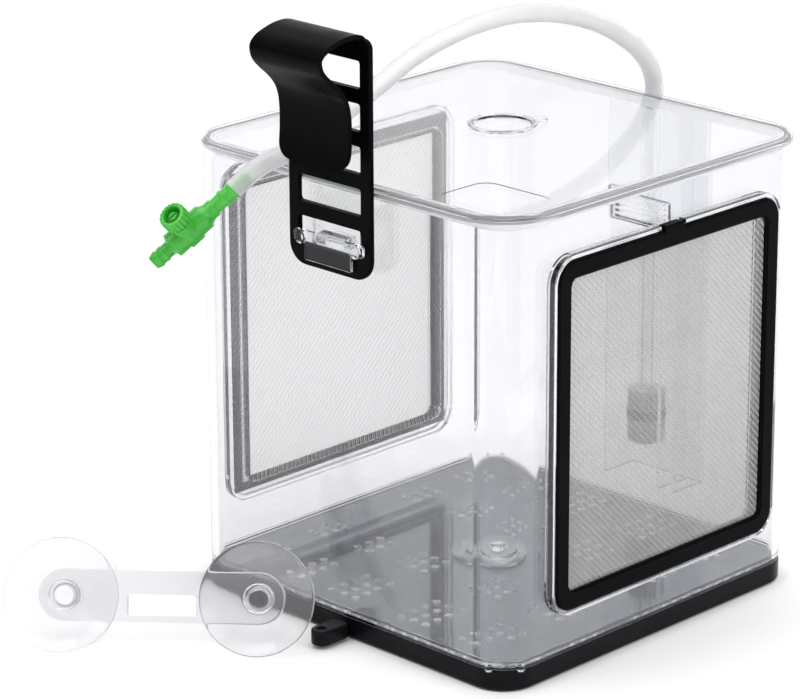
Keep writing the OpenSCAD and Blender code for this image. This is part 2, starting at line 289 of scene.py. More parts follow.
def fix_normals(o):
    bm = bmesh.new()
    bm.from_mesh(o.data)
    bmesh.ops.remove_doubles(bm, verts=bm.verts, dist=1e-7)
    bmesh.ops.recalc_face_normals(bm, faces=bm.faces)
    bm.to_mesh(o.data)
    bm.free()


def evaluated(o):
    dg = bpy.context.evaluated_depsgraph_get()
    me = bpy.data.meshes.new_from_object(o.evaluated_get(dg))
    o.modifiers.clear()
    old = o.data
    o.data = me
    bpy.data.meshes.remove(old)
    return o


def drop(o):
    me = o.data
    bpy.data.objects.remove(o)
    if me.users == 0:
        bpy.data.meshes.remove(me)


def boolean(a, b, op="DIFFERENCE"):
    for o in (a, b):
        fix_normals(o)
    md = a.modifiers.new("b", "BOOLEAN")
    md.object = b
    md.operation = op
    md.solver = "MANIFOLD"
    evaluated(a)
    drop(b)
    return a


def join(name, objs):
    bm = bmesh.new()
    for o in objs:
        bm.from_mesh(o.data)
    me = bpy.data.meshes.new(name)
    bm.to_mesh(me)
    bm.free()
    out = bpy.data.objects.new(name, me)
    scene.collection.objects.link(out)
    for o in objs:
        drop(o)
    return out


def bevel(o, width, angle=40, segments=3):
    md = o.modifiers.new("bev", "BEVEL")
    md.width = width * MM
    md.segments = segments
    md.limit_method = "ANGLE"
    md.angle_limit = math.radians(angle)
    md.use_clamp_overlap = True
    md.harden_normals = False
    return evaluated(o)


def finish_piece(o, name, mat, body, nodes=(), slot=None, sharp=35, clean=True):
    """Smooth shading with flat faces kept flat, material, body and the CAD nodes it stands for."""
    o.name = name
    o.data.name = name
    if clean:
        bm = bmesh.new()
        bm.from_mesh(o.data)
        bmesh.ops.remove_doubles(bm, verts=bm.verts, dist=2e-6)
        bmesh.ops.dissolve_degenerate(bm, edges=bm.edges, dist=1e-6)
        bm.to_mesh(o.data)
        bm.free()
    me = o.data
    me.polygons.foreach_set("use_smooth", [True] * len(me.polygons))
    me.set_sharp_from_angle(angle=math.radians(sharp))
    md = o.modifiers.new("wn", "WEIGHTED_NORMAL")
    md.keep_sharp = True
    md.weight = 90
    evaluated(o)
    o.data.materials.clear()
    o.data.materials.append(mat)
    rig.ride(o, body)
    if nodes:
        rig.replaces(o, *nodes)
    if slot:
        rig.slot(o, slot)
    return o


# ------------------------------------------------------------------ materials
def base_mat(name):
    mt = bpy.data.materials.new(name)
    mt.use_nodes = True
    nt = mt.node_tree
    for n in list(nt.nodes):
        nt.nodes.remove(n)
    out = nt.nodes.new("ShaderNodeOutputMaterial")
    p = nt.nodes.new("ShaderNodeBsdfPrincipled")
    nt.links.new(p.outputs[0], out.inputs[0])
    return mt, nt, p, out


def obj_coord(nt):
    return nt.nodes.new("ShaderNodeTexCoord").outputs["Object"]


def noise(nt, coord, scale, detail=3, rough=0.5):
    n = nt.nodes.new("ShaderNodeTexNoise")
    n.inputs["Scale"].default_value = scale
    n.inputs["Detail"].default_value = detail
    n.inputs["Roughness"].default_value = rough
    nt.links.new(coord, n.inputs["Vector"])
    return n.outputs[0]


def ramp(nt, fac, c0, c1, p0=0.0, p1=1.0):
    n = nt.nodes.new("ShaderNodeValToRGB")
    e = n.color_ramp.elements
    e[0].position, e[1].position = p0, p1
    e[0].color = (*c0, 1) if len(c0) == 3 else c0
    e[1].color = (*c1, 1) if len(c1) == 3 else c1
    nt.links.new(fac, n.inputs[0])
    return n.outputs[0]


def maprange(nt, fac, a, b, lo=0.3, hi=0.7):
    n = nt.nodes.new("ShaderNodeMapRange")
    n.inputs["From Min"].default_value = lo
    n.inputs["From Max"].default_value = hi
    n.inputs["To Min"].default_value = a
    n.inputs["To Max"].default_value = b
    nt.links.new(fac, n.inputs["Value"])
    return n.outputs[0]


def bump(nt, height, p, strength, dist):
    n = nt.nodes.new("ShaderNodeBump")
    n.inputs["Strength"].default_value = strength
    n.inputs["Distance"].default_value = dist
    nt.links.new(height, n.inputs["Height"])
    nt.links.new(n.outputs[0], p.inputs["Normal"])


def clear_mat(name, color, ior=1.5, r0=0.0, r1=0.05, wave=0.12, shadow=0.93, body=1.0, tint=(0.94, 0.955, 1.0)):
    """Clear moulded plastic: faint flow waves and a little haze, and lamps reach what is behind it."""
    mt, nt, p, out = base_mat(name)
    c = obj_coord(nt)
    nt.links.new(ramp(nt, noise(nt, c, 18, 2), [x * 0.985 for x in color], color, 0.3, 0.7), p.inputs["Base Color"])
    nt.links.new(maprange(nt, noise(nt, c, 60, 4, 0.6), r0, r1), p.inputs["Roughness"])
    bump(nt, noise(nt, c, 24, 1), p, wave, 0.0006)
    p.inputs["Transmission Weight"].default_value = body
    p.inputs["IOR"].default_value = ior
    p.inputs["Specular Tint"].default_value = (*tint, 1)
    tr = nt.nodes.new("ShaderNodeBsdfTransparent")
    tr.inputs[0].default_value = (shadow, shadow, shadow, 1)
    lp = nt.nodes.new("ShaderNodeLightPath")
    mx = nt.nodes.new("ShaderNodeMixShader")
    nt.links.new(lp.outputs["Is Shadow Ray"], mx.inputs[0])
    nt.links.new(p.outputs[0], mx.inputs[1])
    nt.links.new(tr.outputs[0], mx.inputs[2])
    nt.links.new(mx.outputs[0], out.inputs[0])
    return mt


M_CLEAR = clear_mat("clear_polystyrene", (0.917, 0.92, 0.936))
M_LID = clear_mat("clear_polystyrene_lid", (0.935, 0.94, 0.955), ior=1.28)
M_FLOOR = clear_mat("clear_floor_plate", (0.87, 0.895, 0.945), body=0.97, tint=(0.80, 0.88, 1.0))
M_KNOB = clear_mat("clear_knob", (0.92, 0.925, 0.945), ior=1.5, r0=0.0, r1=0.08, wave=0.2, body=0.98)
M_SOFT = clear_mat("clear_soft_vinyl", (0.89, 0.89, 0.905), ior=1.45, r0=0.02, r1=0.12, wave=0.35, body=0.94)
M_BAR = clear_mat("clear_bar", (0.83, 0.83, 0.85), ior=1.45, r0=0.0, r1=0.08, wave=0.3, body=0.96)
M_DUCT = clear_mat("clear_thin_wall", (0.92, 0.925, 0.945), ior=1.14, r0=0.0, r1=0.06, wave=0.08)
M_FROST = clear_mat("frosted_hole_edge", (0.86, 0.865, 0.89), ior=1.45, r0=0.4, r1=0.6, wave=0.3, body=0.86)
M_RIM = clear_mat("satin_lid_rim", (0.95, 0.955, 0.97), ior=1.28, r0=0.12, r1=0.28, wave=0.1, body=0.62)
M_CLIP = clear_mat("clear_clip", (0.90, 0.905, 0.93), ior=1.25, r0=0.0, r1=0.06, wave=0.03)


def solid_mat(name, c0, c1, r0, r1, grain=900, grain_s=0.15, spec=0.5, sub=0.0, trans=0.0, coat=0.0):
    mt, nt, p, out = base_mat(name)
    c = obj_coord(nt)
    nt.links.new(ramp(nt, noise(nt, c, 45, 4), c0, c1, 0.3, 0.7), p.inputs["Base Color"])
    nt.links.new(maprange(nt, noise(nt, c, 120, 4, 0.6), r0, r1), p.inputs["Roughness"])
    bump(nt, noise(nt, c, grain, 2), p, grain_s, 0.0001)
    p.inputs["Specular IOR Level"].default_value = spec
    p.inputs["Transmission Weight"].default_value = trans
    p.inputs["Subsurface Weight"].default_value = sub
    p.inputs["Coat Weight"].default_value = coat
    if sub:
        p.inputs["Subsurface Radius"].default_value = (0.004, 0.004, 0.004)
        p.inputs["Subsurface Scale"].default_value = 1.0
    return mt


M_BLACK = solid_mat("black_abs", (0.0015, 0.0015, 0.002), (0.003, 0.003, 0.004), 0.24, 0.40, spec=0.03)
M_TRAY = solid_mat("black_abs_tray", (0.003, 0.003, 0.0045), (0.006, 0.006, 0.008), 0.14, 0.28, grain_s=0.05, spec=0.09)
M_GREEN = solid_mat("green_valve", (0.035, 0.42, 0.03), (0.07, 0.55, 0.05), 0.22, 0.36, grain=500, sub=0.25, coat=0.3)
M_TUBE = clear_mat("milky_silicone", (0.88, 0.882, 0.89), ior=1.4, r0=0.10, r1=0.26, wave=0.3, body=0.66)
M_GREY = solid_mat("grey_diffuser", (0.30, 0.30, 0.30), (0.42, 0.42, 0.41), 0.4, 0.6)
M_DARK = solid_mat("dark_band", (0.02, 0.02, 0.02), (0.04, 0.04, 0.04), 0.4, 0.6)
M_NEEDLE = solid_mat("white_needle", (0.72, 0.72, 0.73), (0.80, 0.80, 0.80), 0.3, 0.4)


def steel_mat(name, c0, c1):
    mt, nt, p, out = base_mat(name)
    c = obj_coord(nt)
    nt.links.new(ramp(nt, noise(nt, c, 300, 3), c0, c1, 0.3, 0.7), p.inputs["Base Color"])
    nt.links.new(maprange(nt, noise(nt, c, 800, 2), 0.28, 0.45), p.inputs["Roughness"])
    bump(nt, noise(nt, c, 4000, 2), p, 0.1, 0.00005)
    p.inputs["Metallic"].default_value = 1.0
    return mt


def wire_mat(name, low, high, x0, x1):
    """Woven wire: the base colour follows the wire's height, a painted highlight where a wire crowns towards +X and
    painted shade, darker, where it dips under the next ones.
    """
    mt, nt, p, out = base_mat(name)
    c = obj_coord(nt)
    sep = nt.nodes.new("ShaderNodeSeparateXYZ")
    nt.links.new(c, sep.inputs[0])
    # noise that shifts the painted shade and highlight along the wire's height by up to 0.02 mm
    crown_shade_jitter = maprange(nt, noise(nt, c, 300, 3), -0.00002, 0.00002)
    add = nt.nodes.new("ShaderNodeMath")
    nt.links.new(sep.outputs["X"], add.inputs[0])
    nt.links.new(crown_shade_jitter, add.inputs[1])
    nt.links.new(ramp(nt, maprange(nt, add.outputs[0], 0.0, 1.0, x0 * MM, x1 * MM), low, high), p.inputs["Base Color"])
    nt.links.new(maprange(nt, noise(nt, c, 800, 2), 0.28, 0.45), p.inputs["Roughness"])
    bump(nt, noise(nt, c, 4000, 2), p, 0.1, 0.00005)
    p.inputs["Metallic"].default_value = 1.0
    return mt


# low is painted shade in the wire dips and high is painted highlight on the crowns; on the hem the dips are painted
# near black, so the hem reads darker than the open cloth
M_WIRE_B = wire_mat("steel_wire_front", (0.46, 0.46, 0.445), (0.86, 0.86, 0.84), 69.2, 69.38)
M_WIRE_C = wire_mat("steel_wire_side", (0.76, 0.76, 0.75), (0.94, 0.94, 0.94), -69.42, -69.28)
M_WIRE_HEM = wire_mat("steel_wire_hem", (0.008, 0.008, 0.008), (0.80, 0.80, 0.80), -69.22, -69.08)
# on the turned edge, steel_wire_mid is the painted highlight on the crowns and the near-black steel below is the
# painted shade in the dips
M_STEEL_MID = steel_mat("steel_wire_mid", (0.44, 0.44, 0.425), (0.60, 0.60, 0.58))
M_DIP_SHADE = steel_mat("steel_wire_painted_dip_shade", (0.008, 0.008, 0.008), (0.02, 0.02, 0.02))

# ------------------------------------------------------------------ air line (the cord)
ROUTE = [(-1.6, 74, 140), (-1.6, 74.2, 145), (-1.8, 72.4, 151), (-2.3, 68, 157), (-3, 61.4, 162.4), (-3.9, 53, 167.6),
         (-5.1, 42.6, 172), (-6.2, 32.4, 175), (-7.3, 22.3, 176.7), (-8.5, 12.3, 177.3), (-9.6, 2.5, 176.7),
         (-10.6, -7.3, 175.2), (-11.7, -17, 172.8), (-12.8, -26.6, 169.2), (-14, -38, 163.5), (-15.6, -48, 158.4),
         (-17.6, -58.6, 153.2), (-19.4, -68, 149.4), (-20.3, -78.2, 147), (-21.2, -83.1, 144.6), (-22.4, -85.1, 142.7),
         (-23.6, -87.1, 140.6)]


def catmull(pts, m=5):
    P = [np.array(p, float) for p in pts]
    out = []
    for i in range(len(P) - 1):
        a, b, c, d = P[max(i - 1, 0)], P[i], P[i + 1], P[min(i + 2, len(P) - 1)]
        for k in range(m):
            t = k / m
            out.append(0.5 * (2 * b + (c - a) * t + (2 * a - 5 * b + 4 * c - d) * t * t + (3 * b - a - 3 * c + d) * t ** 3))
    out.append(P[-1])
    return out


def tube(name, path, radii, bore, seg=28, side=(0.99, -0.13, 0)):
    P = np.array(path)
    T = np.gradient(P, axis=0)
    T /= np.linalg.norm(T, axis=1)[:, None]
    s = np.array(side, float)
    rings = []
    for p, t, r in zip(P, T, radii):
        u = s - (s @ t) * t
        u /= np.linalg.norm(u)
        w = np.cross(t, u)
        rings.append([tuple((p + r * (math.cos(a) * u + math.sin(a) * w)) * MM)
                      for a in [2 * math.pi * k / seg for k in range(seg)]])
    inner = []
    for p, t, r in zip(P, T, radii):
        u = s - (s @ t) * t
        u /= np.linalg.norm(u)
        w = np.cross(t, u)
        inner.append([tuple((p + bore * (math.cos(a) * u + math.sin(a) * w)) * MM)
                      for a in [2 * math.pi * k / seg for k in range(seg)]])
    rings = rings + inner[::-1]
    rings.append(rings[0])
    verts, faces = loft(rings, False)
    return new_obj(name, verts, faces)


line = catmull(ROUTE)
line_m = [tuple(p * MM) for p in line]
line_len = float(sum(np.linalg.norm(np.array(a) - np.array(b)) for a, b in zip(line_m, line_m[1:])))
air = tube("air_line", line, [2.97] * len(line), 2.0)
fix_normals(air)
finish_piece(air, "air_line", M_TUBE, "tank", ["air_tube"], "milky_tube", clean=False)

# ------------------------------------------------------------------ valve
VM = Matrix.Translation(Vector((-30.8, -98.6, 129)) * MM) @ Euler(
    [math.radians(a) for a in (-27.1, 40.6, -122)], "XYZ").to_matrix().to_4x4()
TO_X = Matrix.Rotation(math.radians(90), 4, "Y")


def flow_lathe(name, prof, seg=48):
    return lathe(name, prof, seg, VM @ TO_X)


body = flow_lathe("vb", [(0, -23.9), (1.5, -23.9), (1.9, -23.2), (1.9, -17.9), (2.75, -17.7), (2.8, -17.4), (2.55, -16.9),
                         (2.35, -16.4), (2.35, -14.6), (2.75, -14.4), (2.75, -13.8), (2.35, -12.9), (2.35, -10.6),
                         (2.8, -10.2), (2.8, -8.2), (3.3, -7.0), (3.9, -6.5), (4.0, -6.2), (4.0, 6.2), (3.9, 6.5),
                         (3.2, 6.6), (2.5, 7.2), (2.35, 7.6), (2.35, 9.2), (2.62, 9.4), (2.62, 10.0), (2.35, 10.9),
                         (2.35, 11.4), (2.62, 11.6), (2.62, 12.2), (2.2, 13.6), (2.05, 13.95), (1.4, 13.95),
                         (1.3, 13.6), (1.3, 8.0), (0, 8.0)])
neck = lathe("vn", [(0, 0), (4.0, 0), (4.0, 5.3), (3.8, 5.75), (2.6, 5.8), (2.4, 5.5), (0, 5.5)], 48, VM)
boolean(body, neck, "UNION")
# two flats with a shallow web beside the neck
web = prism("web", 5.2, 4.4, 0.8, -4.6, 4.6, 0.4)
web.data.transform(VM @ Matrix.Translation((0, 0, 0)))
boolean(body, web, "UNION")
# the needle's bore, with the groove for its ring
boolean(body, lathe("vbore", [(0, -2.2), (1.5, -2.2), (1.5, 3.2), (2.45, 3.2), (2.45, 4.2), (1.5, 4.2), (1.5, 6.8), (0, 6.8)],
                    48, VM))
finish_piece(body, "valve_housing", M_GREEN, "tank", ["valve_body"], "green_plastic")

kn = []
N = 18
for z, k in ((6.15, 0.86), (6.35, 1.0), (9.6, 1.0), (9.95, 0.94), (10.05, 0.84)):
    ring = []
    for i in range(N * 4):
        a = 2 * math.pi * i / (N * 4)
        r = 4.2 * k - (0.42 if i % 4 == 0 else 0.12 if i % 4 in (1, 3) else 0.0)
        ring.append((r * math.cos(a), r * math.sin(a), z))
    kn.append(ring)
# hollow top of the knob
for z, r in ((10.05, 3.0), (9.9, 2.8), (7.6, 2.6), (7.4, 2.4)):
    kn.append([(r * math.cos(2 * math.pi * i / (N * 4)), r * math.sin(2 * math.pi * i / (N * 4)), z) for i in range(N * 4)])
v, f = loft(kn)
knob = new_obj("kn", [Vector(p) * MM for p in v], f)
knob.data.transform(VM)
fix_normals(knob)
hub = lathe("hub", [(0, 7.2), (1.5, 7.2), (1.5, 8.9), (1.3, 9.2), (0, 9.2)], 32, VM)
boolean(knob, hub, "UNION")
slotc = prism("slotc", 3.4, 0.7, 0.05, 8.6, 9.6)
slotc.data.transform(VM)
boolean(knob, slotc)
finish_piece(knob, "valve_hand_knob", M_GREEN, "knob", ["valve_knob"], "green_plastic")

valve_bits = [body, knob] + [frame["nodes"][n] for n in ("valve_seal", "valve_needle")]
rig.cord(air, exit=(-0.0016, 0.074, 0.140), length=line_len, diameter=0.006, far_end="fitting", stiffness="medium",
        lay="loose", path=line_m, with_pieces=valve_bits)

# ------------------------------------------------------------------ tank
def ring_x(name, w0, z0, z1, r0, w1, y0, y1, r1, xa, xb, xc, f):
    """Frame lying in the X plane: an outer block less an inner one."""
    a = prism(name, w0, z1 - z0, r0, xa, xb, 0, f, "x", (0, (z0 + z1) / 2))
    b = prism(name + "i", w1, y1 - y0, r1, xc, xb + 1, 0, 0, "x", (0, (y0 + y1) / 2))
    return boolean(a, b)


shell = prism("shell", 134, 134, 13.7, 8.4, 142.8, 0.25, 0.3, seg=16)
lip = prism("lip", 133, 133, 12.4, 6.6, 8.9, 0.4, 0, seg=16)
boolean(shell, lip, "UNION")
collar_b = ring_x("cb", 101.2, 20.2, 130.9, 8.5, 98.8, 21.45, 129.7, 7.3, 66, 70, 67, 0.35)
collar_c = ring_x("cc", 101.2, 20.2, 130.9, 8.5, 98.8, 21.45, 129.7, 7.3, 66, 70, 69.2, 0.35)
collar_c.data.transform(Matrix.Scale(-1, 4, (1, 0, 0)))
fix_normals(collar_c)
gap = prism("gap", 10.9, 3, 0.4, 67.3, 71, 0, 0, "x", (0.85, 130.5))
boolean(collar_b, gap)
boolean(shell, collar_b, "UNION")
boolean(shell, collar_c, "UNION")
boss = prism("boss", 20, 10.6, 2, 66, 70, 0, 0.3, "y", (1.6, 128.2))
boolean(shell, boss, "UNION")
for i, (x, y) in enumerate(((59.6, -66.3), (66.3, -59.6), (-59.6, 66.3), (-66.3, 59.6))):
    lug = lathe("lug%d" % i, [(0, 6.62), (1.0, 6.62), (1.2, 6.9), (1.2, 8.3), (0, 8.3)], 24, Matrix.Translation((x * MM, y * MM, 0)))
    boolean(shell, lug, "UNION")
cav = prism("cav", 129.6, 129.6, 11.5, 8.4, 143.5, 0, 0, seg=16)
cav2 = prism("cav2", 127.2, 127.2, 9, 6, 8.6, 0, 0, seg=16)
boolean(cav, cav2, "UNION")
boolean(shell, cav)
win = prism("win", 86.8, 97.4, 3, -72, 72, 0, 0, "x", (0, 75))
boolean(shell, win)
sock = prism("sock", 12.2, 3.9, 0.2, 65.7, 71, 0, 0, "y", (1.6, 126.95))
boolean(shell, sock)
out_hole = prism("oh", 24, 9.5, 0.3, -70, -60, 0, 0, "y", (0, 106.25))
boolean(shell, out_hole)
finish_piece(shell, "tank_shell", M_CLEAR, "tank", ["box_shell"], "clear_plastic")

# ------------------------------------------------------------------ lid and plug
lid = prism("lid", 139, 139, 21, 142.82, 144, 0.25, 0.3, seg=20)
boolean(lid, prism("step", 134.4, 134.4, 17, 143.2, 144.8, 0, 0.3, seg=20), "UNION")
rib = prism("rib", 128.6, 128.6, 11.2, 140.3, 143.2, 0.3, 0, seg=12)
boolean(rib, prism("ribi", 125.8, 125.8, 9.8, 140, 143.4, seg=12))
boolean(lid, rib, "UNION")
PX, PY = -5.7, 8.5
AT_PLUG = Matrix.Translation((PX * MM, PY * MM, 0))
boolean(lid, lathe("fh", [(0, 139), (9.8, 139), (9.8, 144.5), (10.1, 144.8), (10.1, 146), (0, 146)], 64, AT_PLUG))
boolean(lid, prism("thumb", 28, 22, 5, 144.6, 145.5, 0, -0.2, at=(47, -51)))
finish_piece(lid, "lid_panel_clear", M_LID, "lid_panel", ["lid"], "clear_plastic")
lid.data.materials.append(M_RIM)
for q in lid.data.polygons:
    if abs(q.normal.z) < 0.8 and max(abs(q.center.x), abs(q.center.y)) > 0.055:
        q.material_index = 1

plug = lathe("plug", [(0, 143.4), (9.1, 143.4), (9.5, 143.7), (9.5, 144.82), (10.5, 144.82), (10.7, 145.0), (10.7, 145.25),
                      (10.5, 145.4), (9.6, 145.4), (9.2, 145.1), (8.7, 144.6), (0, 144.6)], 72, AT_PLUG)
tab = prism("tab", 4.6, 5.2, 1.5, 144.82, 145.6, 0.2)
tab.data.transform(AT_PLUG @ Matrix.Rotation(math.radians(63), 4, "Z") @ Matrix.Translation((12 * MM, 0, 0)))
boolean(plug, tab, "UNION")
finish_piece(plug, "feeding_plug", M_LID, "plug", ["feed_plug"], "clear_plastic")

# ------------------------------------------------------------------ base tray
tray = prism("tray", 132.6, 132.6, 11.5, 0, 6.6, 0.9, 0.25, seg=16)
boolean(tray, prism("pocket", 122, 122, 1.2, 1.6, 7, 0.5, 0))
tab = prism("ttab", 6.5, 13.1, 3.2, 0.8, 5.6, 0.7, at=(0, -66.3 - 13.2 + 6.55))
boolean(tab, lathe("tp", [(0, 4.8), (1.3, 4.8), (1.5, 5.0), (1.5, 6.5), (0, 6.5)], 24,
                   Matrix.Translation((0, -76.25 * MM, 0))))
boolean(tray, tab, "UNION")
finish_piece(tray, "base_tray_black", M_TRAY, "tank", ["base_plate", "base_tray"], "black_plastic")

# ------------------------------------------------------------------ floor plate
plate = prism("grate", 126.6, 126.6, 8.6, 6.62, 8.4, 0.15, 0.25)
holes = []
for x in (-54, -49, -34, -29, -15, -10, -5, 15, 20, 25, 40, 45, 50):
    for y in (16, 21, 26, 41, 46, 51, 56):
        for s in (-1, 1):
            if not (abs(x) > 48 and y > 50):
                holes.append(((x, s * y)))
vs, fs = [], []
for hx, hy in holes:
    k0 = len(vs)
    prof = ((1.1, 6), (1.1, 8.15), (1.32, 8.4), (1.32, 9))
    for r, z in prof:
        for i in range(16):
            a = 2 * math.pi * i / 16
            vs.append(Vector((hx + r * math.cos(a), hy + r * math.sin(a), z)) * MM)
    for k in range(3):
        for i in range(16):
            j = (i + 1) % 16
            fs.append((k0 + k * 16 + i, k0 + k * 16 + j, k0 + (k + 1) * 16 + j, k0 + (k + 1) * 16 + i))
    fs.append(tuple(k0 + 15 - i for i in range(16)))
    fs.append(tuple(k0 + 48 + i for i in range(16)))
cut = new_obj("holes", vs, fs)
boolean(plate, cut)
finish_piece(plate, "floor_plate_perforated", M_FLOOR, "floor", ["floor_grate"], "clear_plastic")
plate.data.materials.append(M_FROST)
for q in plate.data.polygons:
    if abs(q.normal.z) < 0.95 and max(abs(q.center.x), abs(q.center.y)) < 0.0605:
        q.material_index = 1
fknob = lathe("fk", [(0, 8.42), (13.0, 8.42), (13.2, 8.55), (13.2, 9.0), (12.9, 9.2), (9.5, 9.2), (9.0, 9.4), (8.7, 9.8),
                     (8.7, 10.1), (8.4, 10.4), (4.3, 10.4), (3.9, 10.2), (3.5, 9.9), (2.5, 9.9), (2.0, 10.2), (1.6, 10.4),
                     (0, 10.4)], 80)
finish_piece(fknob, "floor_lifting_knob", M_KNOB, "floor", ["floor_knob"], "clear_plastic")

# ------------------------------------------------------------------ windows
wf = prism("wf", 98.2, 107.65, 7, 67.15, 70.6, 0.3, 0.8, "x", (0, 75.575), seg=10)
ftab = prism("ft", 8.9, 6, 1, 67.7, 70.6, 0.2, 0.5, "x", (0.85, 127.8))
boolean(wf, ftab, "UNION")
inner = prism("wfi", 86.8, 96.2, 2.5, 66, 71.5, 0, -0.9, "x", (0, 75.6), seg=8)
boolean(wf, prism("wfi1", 86.8, 96.2, 2.5, 66, 70.0, 0, 0, "x", (0, 75.6), seg=8))
drop(inner)
boolean(wf, prism("wfi2", 88.2, 97.6, 3.2, 69.9, 71.2, 0.7, 0, "x", (0, 75.6), seg=8))
finish_piece(wf, "window_frame_black", M_BLACK, "window", ["window_frame"], "black_plastic")


def weave(name, x, y0, y1, z0, z1, pitch, wire, lean, cloth, hem=None, hem_wire=0.0):
    """Twilled wire cloth: every wire passes over two and under two of the ones that cross it, one step on in each row."""
    ny, nz = 2 * int((y1 - y0) / pitch / 2), 2 * int((z1 - z0) / pitch / 2)
    ya, za = (y0 + y1 - ny * pitch) / 2, (z0 + z1 - nz * pitch) / 2
    tri = [(1, 0), (-0.5, 0.866), (-0.5, -0.866)]
    V, F, base = [], [], 0
    for across, wires, cells in ((False, ny + 1, nz), (True, nz + 1, ny)):
        w = np.arange(wires)[:, None]
        k = np.arange(-1, cells // 2 + 1)[None, :]
        step = ((0.5 - lean * w) if across else lean * (0.5 - w)) % 2 + 2 * k
        phase = (step + lean * w if across else w + lean * step) % 4
        on = np.clip(step, 0, cells)
        h = np.where(np.abs(phase - 0.5) < 0.25, 1.0, -1.0) * np.where(on == step, 0.75 * wire, 0.0)
        side = np.repeat(w * pitch, k.shape[1], 1)
        if across:
            Y, Z, h = ya + on * pitch, za + side, -h
        else:
            Y, Z = ya + side, za + on * pitch
        r = np.full(Y.shape, wire / 2)
        if hem:
            # the wires swell into the pressed hem, all round the window
            near = np.maximum(np.abs(Y) - hem[0], np.maximum(Z - hem[2], hem[1] - Z))
            r = r + (hem_wire / 2 - r) * np.clip(near / 0.8, 0, 1)
        if across:
            V.append(np.stack([np.stack([x + h + r * p, Y, Z + r * q], -1) for p, q in tri], 2).reshape(-1, 3))
        else:
            V.append(np.stack([np.stack([x + h + r * p, Y + r * q, Z], -1) for p, q in tri], 2).reshape(-1, 3))
        n = k.shape[1]
        ii, jj = np.meshgrid(np.arange(wires), np.arange(n - 1), indexing="ij")
        for p in range(3):
            q = (p + 1) % 3
            b0 = base + (ii * n + jj) * 3
            quad = (b0 + p, b0 + 3 + p, b0 + 3 + q, b0 + q) if across else (b0 + p, b0 + q, b0 + 3 + q, b0 + 3 + p)
            F.append(np.stack(quad, -1).reshape(-1, 4))
        base += wires * n * 3
    V, F = np.concatenate(V), np.concatenate(F)
    kind = np.zeros(len(F), np.int32)
    if hem:
        C = V[F].mean(axis=1)
        kind = (np.maximum(np.abs(C[:, 1]) - hem[0], np.maximum(C[:, 2] - hem[2], hem[1] - C[:, 2])) > 0).astype(np.int32)
    V = V * MM
    me = bpy.data.meshes.new(name)
    me.vertices.add(len(V))
    me.vertices.foreach_set("co", V.astype(np.float32).ravel())
    me.loops.add(F.size)
    me.loops.foreach_set("vertex_index", F.astype(np.int32).ravel())
    me.polygons.add(len(F))
    me.polygons.foreach_set("loop_start", np.arange(0, F.size, 4, dtype=np.int32))
    me.polygons.foreach_set("use_smooth", np.ones(len(F), bool))
    for mt in cloth:
        me.materials.append(mt)
    me.polygons.foreach_set("material_index", kind)
    me.update(calc_edges=True)
    me.validate()
    o = bpy.data.objects.new(name, me)
    scene.collection.objects.link(o)
    return o


